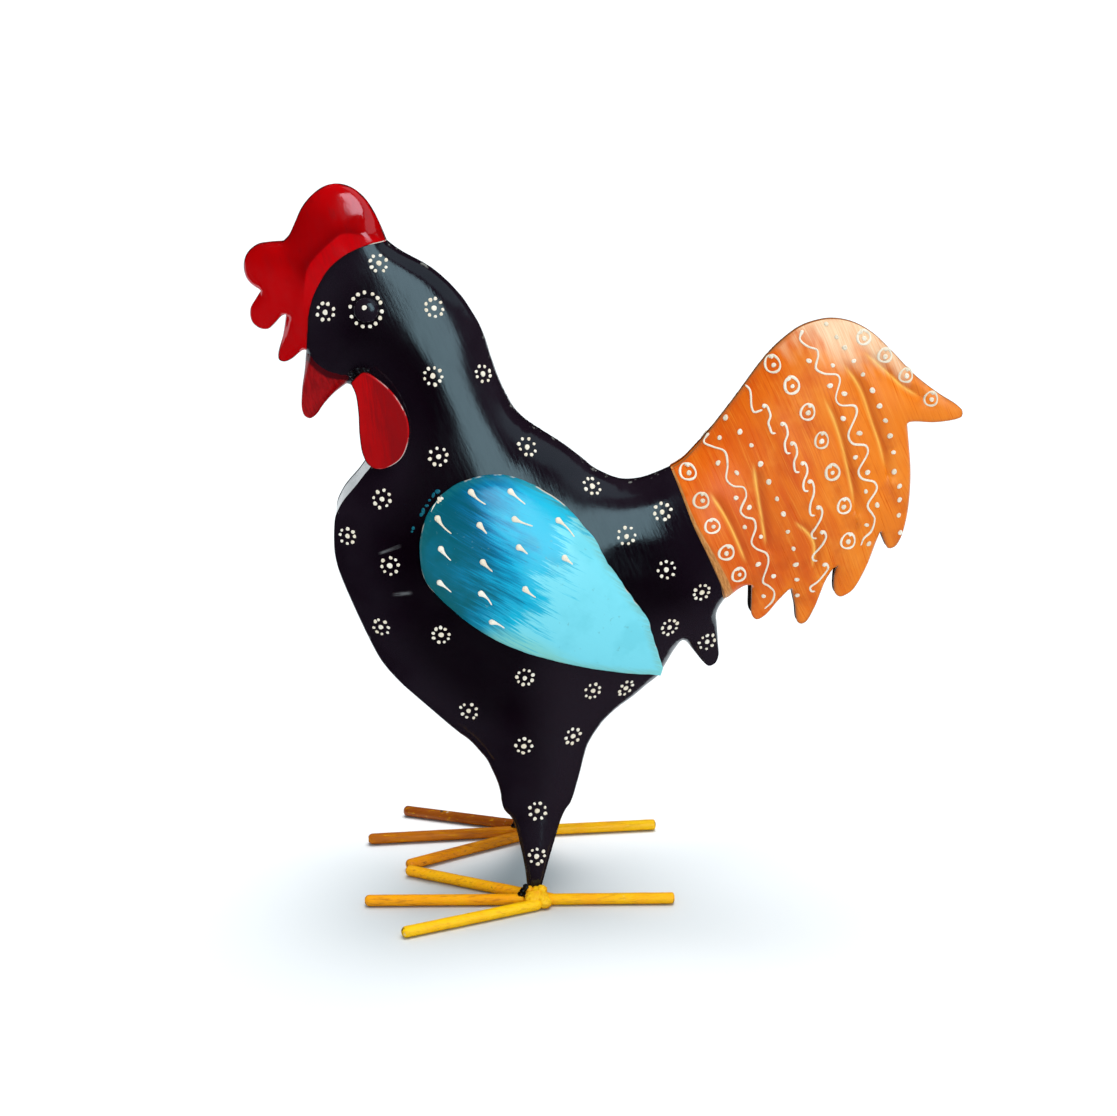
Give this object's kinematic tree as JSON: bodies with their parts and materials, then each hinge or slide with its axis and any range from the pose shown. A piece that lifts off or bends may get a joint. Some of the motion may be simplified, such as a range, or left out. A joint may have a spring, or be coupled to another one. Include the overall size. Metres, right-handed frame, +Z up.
{
  "type": "metal rooster garden ornament",
  "caption": "Standing rooster ornament of dished painted sheet metal with comb, wattles, wings and fluted tail, on feet of welded round rod.",
  "frame": {"origin": "on the floor, under the centre of the bounding box", "axes": "+Z up, the bird looks along -X with its tail towards +X, and its left side is at -Y"},
  "size_m": [0.3692, 0.1526, 0.3785],
  "materials": {
    "body_paint": "hand-brushed satin black paint",
    "eye_paint": "gloss black paint",
    "comb_paint": "satin red paint",
    "wattle_paint": "satin red paint with bare edges",
    "wing_paint": "satin blue to pale aqua paint, dry-brushed",
    "tail_paint": "brushed orange paint",
    "rod_paint": "brushed yellow ochre paint",
    "weld_paint": "yellow ochre paint over a rough weld"
  },
  "bodies": {
    "root": {"left_body_panel": "body_paint", "right_body_panel": "body_paint", "chest_strip": "body_paint", "belly_strip": "body_paint", "left_wattle_weld": "body_paint", "right_wattle_weld": "body_paint", "left_eye_boss": "eye_paint", "right_eye_boss": "eye_paint", "left_comb_half": "comb_paint", "right_comb_half": "comb_paint", "left_wattle": "wattle_paint", "right_wattle": "wattle_paint", "left_wing": "wing_paint", "right_wing": "wing_paint", "left_tail_half": "tail_paint", "right_tail_half": "tail_paint", "left_long_toe": "rod_paint", "right_long_toe": "rod_paint", "left_outer_toe": "rod_paint", "right_outer_toe": "rod_paint", "left_inner_toe": "rod_paint", "right_inner_toe": "rod_paint", "left_ankle_weld": "weld_paint", "right_ankle_weld": "weld_paint"}
  },
  "joints": []
}
